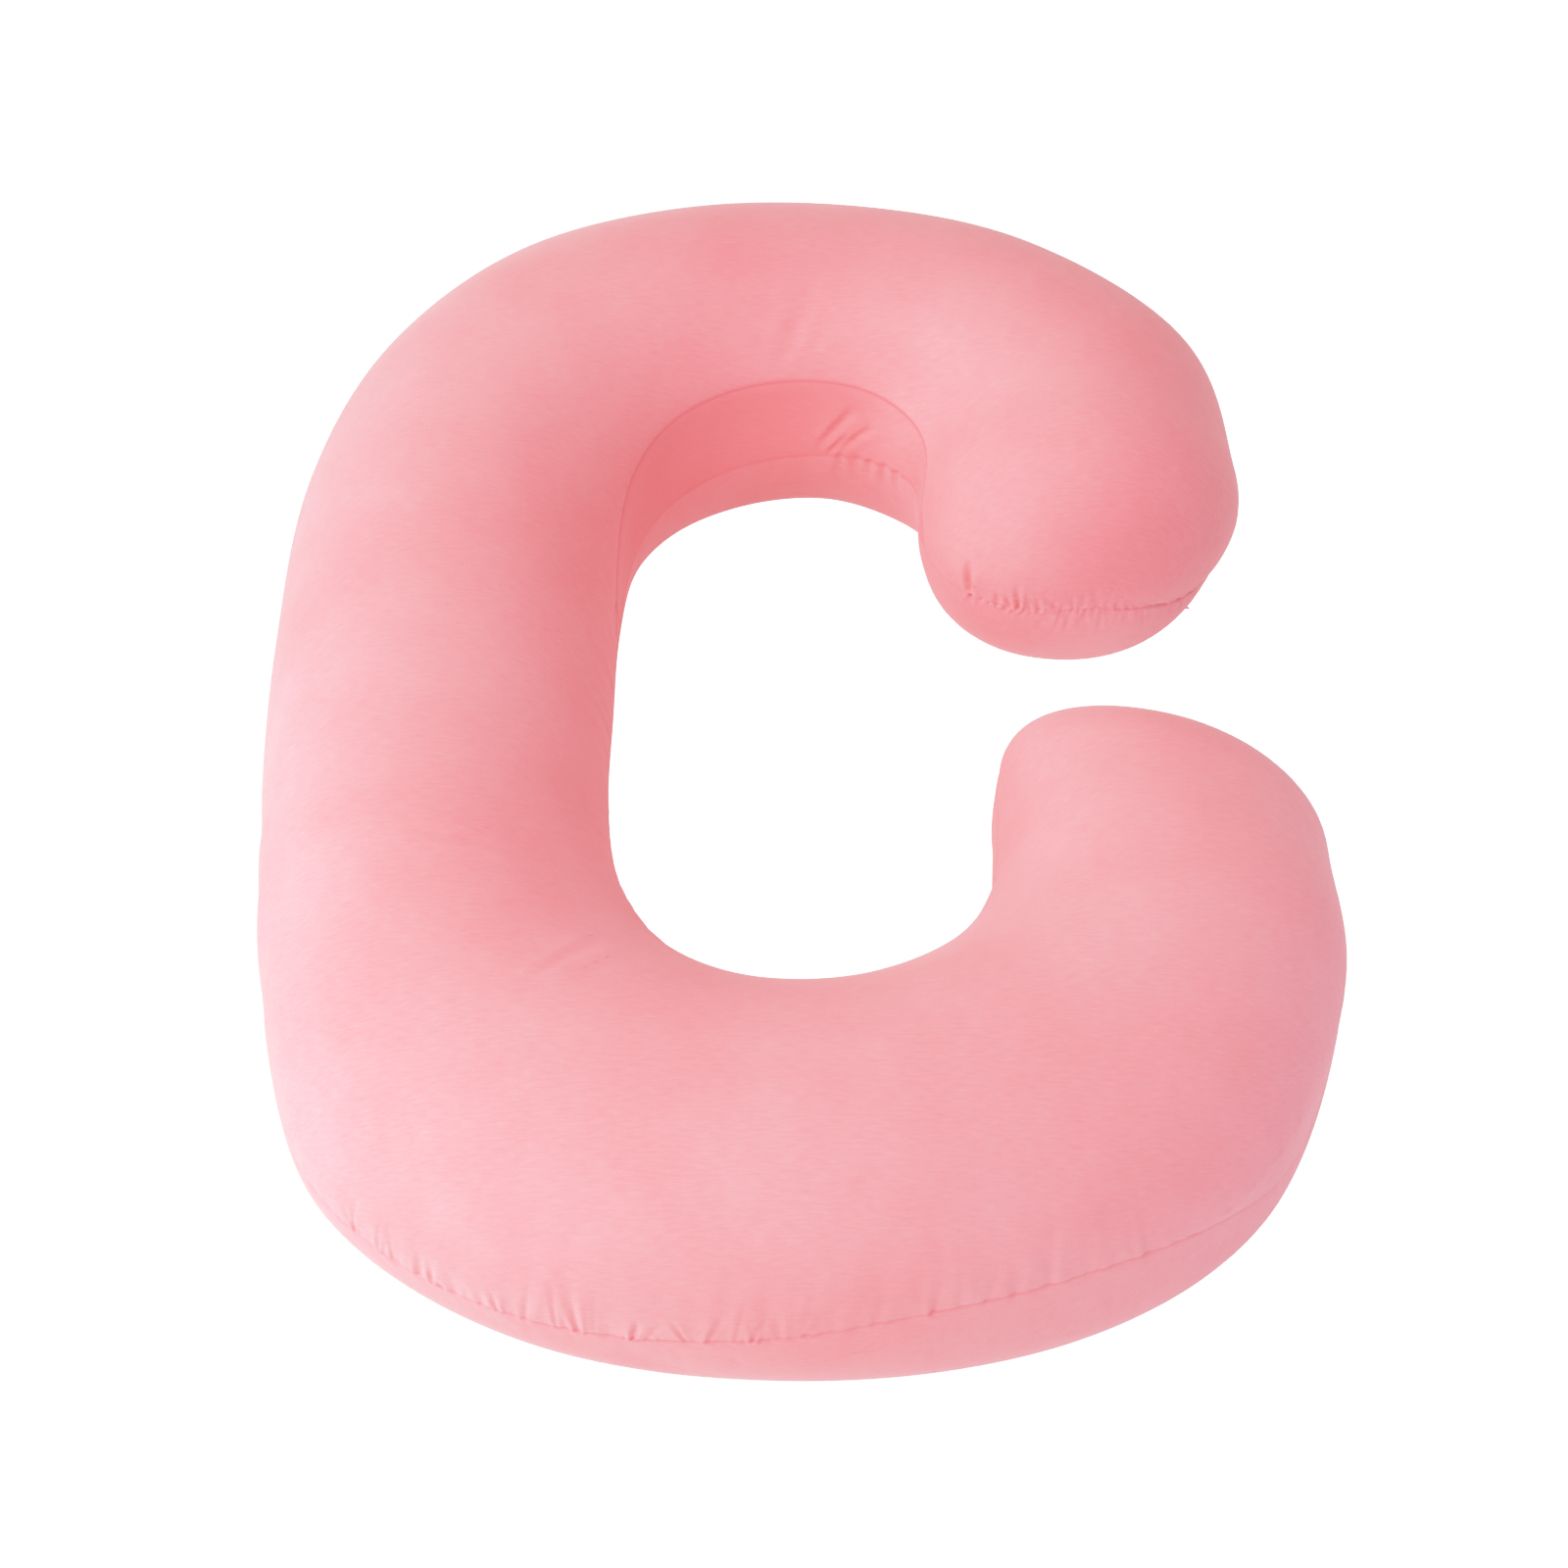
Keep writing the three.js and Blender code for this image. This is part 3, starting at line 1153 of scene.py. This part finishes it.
    def settle(self, sheet: Cloth) -> None:
        """Moves every corner to its place on the filled cover.

        Args:
            sheet: The filled cover.
        """
        puff = sheet.verts.layers.float_vector["puff"]
        moves = np.array([vert[puff][:] for vert in sheet.verts])
        self.place(sheet, self.pattern.cover(*self.params(sheet)) + moves)
        sheet.normal_update()

    def all_creases(self) -> list[Crease]:
        """Lists the creases that stand alone and those of the gathers.

        Returns:
            All the creases.
        """
        return [*self.creases, *(crease for part in self.gathers for crease in part.creases(self.pattern))]

    def spacing(self, sheet: Cloth, creases: list[Crease]) -> Array:
        """How far apart the corners may be, which is less along the seams and the creases.

        Args:
            sheet: The filled cover.
            creases: All its creases.

        Returns:
            A distance for each corner.
        """
        from_side, from_top = self.from_seams(sheet)
        wanted = np.full(len(sheet.verts), self.coarse)
        for within, spacing in self.fine_near_seams:
            wanted = np.where(np.minimum(from_side, from_top) < within, spacing, wanted)
        places = self.places(sheet)
        facing = np.array([vert.normal[:] for vert in sheet.verts])
        for crease in creases:
            near = crease.near(self.pattern, places)
            beside, _ = crease.lie(self.pattern, places[near], facing[near])
            near = near[beside < crease.width * self.crease_margin]
            wanted[near] = np.minimum(wanted[near], crease.width * self.crease_fineness)
        return wanted

    def refine(self, sheet: Cloth) -> None:
        """Makes the mesh finer along the seams and the creases, and settles it each time.

        Args:
            sheet: The filled cover.
        """
        creases = self.all_creases()
        for finest in self.fine_steps:
            wanted = np.maximum(self.spacing(sheet, creases), finest) * self.longest_edge * MM
            sheet.verts.index_update()
            long = [
                edge
                for edge in sheet.edges
                if edge.calc_length() > min(wanted[vert.index] for vert in edge.verts)
            ]
            bmesh.ops.subdivide_edges(sheet, edges=long, cuts=1, use_grid_fill=True)
            self.settle(sheet)
            log.info("cover refined to %.1f mm: %d faces", finest, len(sheet.faces))

    def seam_shown(self, station: Array, across: Array) -> Array:
        """How clearly the side seam shows, which changes along the outer side and the hole side.

        Args:
            station: The points' stations.
            across: Their places across.

        Returns:
            The points' shares, from 0 to 1.
        """
        outer = read_off(station, self.outer_seam)
        hole = read_off(station, self.hole_seam)
        return hole + (outer - hole) * read_off(across, self.seam_change)

    def relief(self, sheet: Cloth) -> None:
        """Draws the cover in along its seams and creases and lets the gusset lie flat.

        Args:
            sheet: The filled cover.
        """
        pattern = self.pattern
        station, across, _ = self.params(sheet)
        from_side, from_top = self.from_seams(sheet)
        side_stitch = self.seam_shown(station, across) * bell(from_side, self.stitch_width)
        top_stitch = bell(from_top, self.stitch_width)
        inward = self.seam_draw_in * bell(from_side, self.seam_valley) + self.stitch_depth * side_stitch
        rise, climb = pattern.rise(station, across), pattern.climb(station)
        flat = 1 - np.cos(climb / 2) / np.cos(rise - climb / 2)
        on_gusset = (from_top < FAR) & (rise < climb)
        inward += np.where(on_gusset, self.gusset_slack * flat * pattern.arm_radius, 0)
        fade = np.clip(climb / self.gusset_tip, 0, 1)
        inward += fade * self.gusset_draw_in * (bell(from_top, self.seam_valley) + top_stitch)
        places = self.places(sheet)
        facing = np.array([vert.normal[:] for vert in sheet.verts])
        for crease in self.all_creases():
            near = crease.near(pattern, places)
            inward[near] += crease.inward(*crease.lie(pattern, places[near], facing[near]))
        places = places - facing * inward[:, None]
        places[:, 2] = np.maximum(places[:, 2], 0)
        self.place(sheet, places)
        # Marks where the seams are drawn darker: partly the thread, partly painted shade in their groove.
        self.mark(sheet, "stitch", np.maximum(side_stitch, top_stitch))

    def paint_shading(self, sheet: Cloth) -> None:
        """Marks the painted light and shade at each point of the cover, as a `tone` that draws its colour
        deeper above nought and paler below.

        Args:
            sheet: The finished cover.
        """
        places = self.places(sheet)
        self.mark(sheet, "tone", sum(shade.on(self.pattern, places) for shade in self.painted_shading))

    def grain(self, sheet: Cloth) -> None:
        """Gives the cloth a map in metres: where each point lies in the flat cloth it was cut from.

        Args:
            sheet: The finished cover.
        """
        pattern = self.pattern
        station, across, _ = self.params(sheet)
        rows = pattern.section_at(station)
        middle = (rows[:, 0:2] + rows[:, 2:4]) / 2
        rise = pattern.rise(station, across)
        spread = (math.pi / 2 - rise) / np.maximum(np.cos(rise), 1e-3)
        flat = (middle + (self.places(sheet)[:, :2] - middle) * spread[:, None]) * MM
        layer = sheet.loops.layers.uv.new("grain")
        sheet.verts.index_update()
        for face in sheet.faces:
            for loop in face.loops:
                loop[layer].uv = flat[loop.vert.index]

    def make(self, finishes: list[bpy.types.Material]) -> bpy.types.Object:
        """Makes the finished pillow in the place of its solid.

        Args:
            finishes: The finishes of the panels and of the gusset, the gusset's being the same cotton
                drawn deeper as painted shade.

        Returns:
            The pillow.
        """
        sheet = self.fill(self.sew())
        self.refine(sheet)
        self.relief(sheet)
        self.paint_shading(sheet)
        self.grain(sheet)
        for face in sheet.faces:
            face.smooth = True
        piece = show_sheet("pregnancy_pillow", sheet)
        sheet.free()
        for finish in finishes:
            piece.data.materials.append(finish)
        self.seat(piece)
        triangles = sum(len(face.vertices) - 2 for face in piece.data.polygons)
        log.info("pillow dressed: %d triangles", triangles)
        return piece

    @staticmethod
    def seat(piece: bpy.types.Object) -> None:
        """Moves the pillow's mesh so that its box is centred on its solid's box in plan; its height stays
        as it is.

        Args:
            piece: The pillow.
        """
        low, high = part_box(NODE)
        corners = np.empty(len(piece.data.vertices) * 3, dtype=np.float32)
        piece.data.vertices.foreach_get("co", corners)
        corners = corners.reshape(-1, 3)
        centre = (corners.min(0) + corners.max(0)) / 2
        corners[:, 0] += (low[0] + high[0]) / 2 - centre[0]
        corners[:, 1] += (low[1] + high[1]) / 2 - centre[1]
        piece.data.vertices.foreach_set("co", corners.ravel())
        piece.data.update()


@dataclass(frozen=True)
class PaperSheet:
    """A wide flat sheet under the pillow, which either lights it or shows behind it.

    `tone` is how pale the sheet is, `glow` is how much light it gives off, and `shown` is whether it
    is the one that the camera sees.
    """

    name: str
    tone: float
    glow: float
    shown: bool
    size: float = 12.0
    roughness: float = 0.95

    def lay(self) -> None:
        """Lays the sheet on the ground."""
        sheet = bmesh.new()
        bmesh.ops.create_grid(sheet, x_segments=1, y_segments=1, size=self.size)
        piece = show_sheet(self.name, sheet)
        sheet.free()
        paper = bpy.data.materials.new(self.name)
        paper.use_nodes = True
        surface = {
            "Base Color": (self.tone, self.tone, self.tone, 1),
            "Roughness": self.roughness,
            "Specular IOR Level": 0.0,
            "Emission Color": (1, 1, 1, 1),
            "Emission Strength": self.glow,
        }
        set_inputs(paper.node_tree.nodes["Principled BSDF"], surface)
        piece.data.materials.append(paper)
        piece.visible_camera = self.shown
        piece.visible_diffuse = piece.visible_glossy = piece.visible_shadow = not self.shown
        log.info("%s laid", self.name)


@dataclass(frozen=True)
class SoftBox:
    """A square soft light that stays out of the picture. Sizes are metres and watts."""

    name: str
    place: Triple
    size: float
    power: float
    colour: Triple

    def hang(self, target: Triple) -> None:
        """Hangs the light so that it faces its target.

        Args:
            target: The point that it faces, in metres.
        """
        lamp = bpy.data.lights.new(self.name, "AREA")
        lamp.energy = self.power
        lamp.size = self.size
        lamp.color = self.colour
        piece = show(self.name, lamp)
        piece.location = self.place
        away = Vector(self.place) - Vector(target)
        piece.rotation_euler = away.to_track_quat("Z", "Y").to_euler()
        piece.visible_camera = False


@dataclass(frozen=True)
class Studio:
    """A plain white studio: floor, soft lights and the camera at the photograph's angle."""

    elevation: float = math.radians(53)
    distance: float = 2.62
    lens: float = 76.5
    sensor: float = 36.0
    target: Triple = (-0.0058, -0.0477, 0.12)
    ambient: float = 0.36
    overhead_power: float = 1.05
    overhead_spread: float = math.radians(120)
    overhead_way: Triple = (0.45, 0.3, 1.0)
    sheets: tuple[PaperSheet, ...] = (
        PaperSheet("studio_floor", tone=0.5, glow=0.42, shown=False),
        PaperSheet("white_backdrop", tone=0.0, glow=1.9, shown=True),
    )
    soft_boxes: tuple[SoftBox, ...] = (
        SoftBox("key_light", (-2.4, -1.35, 1.95), 3.5, 154.0, (1.0, 1.0, 1.0)),
        SoftBox("cool_fill", (0.95, -0.75, 0.45), 0.5, 1.6, (0.3, 0.65, 1.0)),
    )
    shoulder: Curve = (
        (0.3, 0.3), (0.6, 0.61), (0.72, 0.745), (0.84, 0.82), (0.95, 0.86), (1.07, 0.9), (1.2, 0.93),
        (1.4, 0.955), (1.65, 0.975), (1.8, 1.0))

    def build(self) -> None:
        """Sets up the floor, the lights and the camera."""
        self.film()
        for sheet in self.sheets:
            sheet.lay()
        self.ceiling()
        for soft_box in self.soft_boxes:
            soft_box.hang(self.target)
        self.camera()

    def film(self) -> None:
        """Sets a plain view with a soft shoulder, which keeps the brightest cloth from turning flat."""
        view = bpy.context.scene.view_settings
        view.view_transform = "Standard"
        view.use_curve_mapping = True
        tones = view.curve_mapping
        tones.use_clip = False
        shoulder = tones.curves[3]
        shoulder.points[1].location = self.shoulder[-1]
        for light, shown in self.shoulder[:-1]:
            shoulder.points.new(light, shown)
        tones.update()

    def ceiling(self) -> None:
        """Gives an even white light from all round, and a very broad one from above."""
        world = bpy.data.worlds.new("studio_light")
        world.use_nodes = True
        glow = {"Color": (1, 1, 1, 1), "Strength": self.ambient}
        set_inputs(world.node_tree.nodes["Background"], glow)
        bpy.context.scene.world = world
        lamp = bpy.data.lights.new("overhead_light", "SUN")
        lamp.energy = self.overhead_power
        lamp.angle = self.overhead_spread
        piece = show("overhead_light", lamp)
        piece.rotation_euler = Vector(self.overhead_way).to_track_quat("Z", "Y").to_euler()

    def camera(self) -> None:
        """Sets the camera in front of the pillow, looking down on it."""
        lens = bpy.data.cameras.new("camera")
        lens.lens = self.lens
        lens.sensor_width = self.sensor
        piece = show("camera", lens)
        way = Vector((0, math.cos(self.elevation), -math.sin(self.elevation)))
        piece.location = Vector(self.target) - way * self.distance
        piece.rotation_euler = way.to_track_quat("-Z", "Y").to_euler()
        bpy.context.scene.camera = piece


COVER_COTTON = CottonFinish(
    "pink_cotton",
    pale=(0.95, 0.40, 0.42),
    light=(0.93, 0.335, 0.360),
    deep=(0.91, 0.277, 0.300),
    rich=(0.90, 0.225, 0.250),
)
# The cover's cotton drawn deeper and redder: painted shade for the gusset, which lies in shade inside the
# neck.
GUSSET_PAINTED_SHADE_COTTON = CottonFinish(
    "gusset_cotton",
    pale=(0.94, 0.35, 0.37),
    light=(0.92, 0.285, 0.306),
    deep=(0.90, 0.255, 0.276),
    rich=(0.89, 0.215, 0.236),
)


def main() -> None:
    """Builds the studio and the pillow."""
    logging.basicConfig(level=logging.INFO, format="%(name)s: %(message)s")
    Studio().build()
    pillow = Cushion().make([COVER_COTTON.material(), GUSSET_PAINTED_SHADE_COTTON.material()])
    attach(pillow, "root")
    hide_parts(NODE)


if __name__ == "__main__":
    main()
